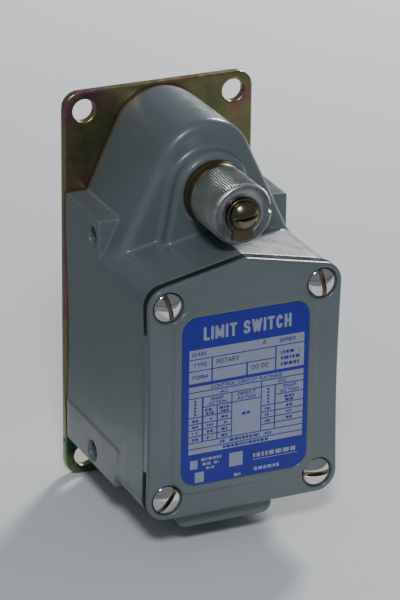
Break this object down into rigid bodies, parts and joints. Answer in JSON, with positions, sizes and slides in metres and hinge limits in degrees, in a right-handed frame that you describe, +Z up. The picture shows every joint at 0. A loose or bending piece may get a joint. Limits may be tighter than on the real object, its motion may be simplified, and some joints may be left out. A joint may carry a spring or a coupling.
{
  "type": "limit switch",
  "caption": "Heavy-duty rotary limit switch: grey die-cast housing with a gabled turret, serrated shaft end and screwed front cover, bolted to a yellow-zinc mounting plate",
  "frame": {"origin": "the middle of the mounting plate's back face, on the wall or machine that the switch is bolted to", "axes": "+Z up as the switch hangs on a vertical surface, +Y into that surface, so the cover and the shaft end face -Y, +X right as seen from the front"},
  "size_m": [0.0762, 0.0836, 0.1554],
  "materials": {
    "plate_zinc": "yellow chromate zinc plate, iridescent",
    "fibre": "brown vulcanised fibre sheet",
    "enamel": "semi-gloss grey enamel on a die casting",
    "gasket_rubber": "black moulded rubber",
    "label": "blue printed nameplate",
    "screw_steel": "polished stainless steel",
    "shaft_steel": "zinc-plated serrated steel",
    "dark_steel": "dark aged steel",
    "bronze": "dark sintered bronze",
    "brass": "plain brass",
    "spring_steel": "spring wire",
    "phenolic": "moulded brown phenolic",
    "green_screw": "green-dyed ground screw"
  },
  "bodies": {
    "housing_body": {"back_gasket": "fibre", "block_screw_1": "screw_steel", "block_screw_2": "screw_steel", "contact_block": "phenolic", "contact_spring": "spring_steel", "front_bushing": "bronze", "ground_screw": "green_screw", "housing": "enamel", "mounting_plate": "plate_zinc", "plate_screw_1": "screw_steel", "plate_screw_2": "screw_steel", "plate_screw_3": "screw_steel", "plate_screw_4": "screw_steel", "rear_bushing": "bronze", "return_spring": "spring_steel", "shaft_seal": "gasket_rubber", "terminal_1": "brass", "terminal_2": "brass", "terminal_3": "brass", "terminal_4": "brass", "terminal_clamp_1": "brass", "terminal_clamp_2": "brass", "terminal_clamp_3": "brass", "terminal_clamp_4": "brass", "terminal_screw_1": "screw_steel", "terminal_screw_2": "screw_steel", "terminal_screw_3": "screw_steel", "terminal_screw_4": "screw_steel"},
    "cover_body": {"cover": "enamel", "cover_gasket": "gasket_rubber", "nameplate": "label", "cover_screw_1": "screw_steel", "cover_screw_2": "screw_steel", "cover_screw_3": "screw_steel", "cover_screw_4": "screw_steel"},
    "shaft_body": {"operating_shaft": "shaft_steel", "shaft_collar": "bronze", "shaft_end_screw": "dark_steel", "lock_washer": "dark_steel", "cam": "shaft_steel", "cam_pin": "shaft_steel", "retaining_ring": "shaft_steel", "thrust_washer": "brass"},
    "plunger_body": {"plunger": "shaft_steel", "roller_pin": "shaft_steel", "contact_carrier": "phenolic", "contact_bridge": "brass"},
    "roller_body": {"follower_roller": "shaft_steel"}
  },
  "joints": [
    {"name": "shaft_turn", "type": "hinge", "parent": "housing_body", "child": "shaft_body", "pos_m": [0, -0.04, 0.0519], "axis": [0, -1, 0], "range_deg": [-75, 75], "stiffness_Nm_per_rad": 0.2},
    {"name": "plunger_slide", "type": "slide", "parent": "housing_body", "child": "plunger_body", "axis": [0, 0, 1], "range_m": [-0.00255, 0.00255], "deforming": ["contact_spring"]},
    {"name": "roller_spin", "type": "hinge", "parent": "plunger_body", "child": "roller_body", "pos_m": [0, -0.026, 0.03475], "axis": [0, 1, 0], "continuous": true},
    {"name": "cover_removal", "type": "slide", "parent": "housing_body", "child": "cover_body", "axis": [0, -1, 0], "range_m": [0, 0.04]}
  ],
  "couplings": [
    {"joint": "plunger_slide", "follows": "shaft_turn", "m_per_rad": 0.00191}
  ]
}
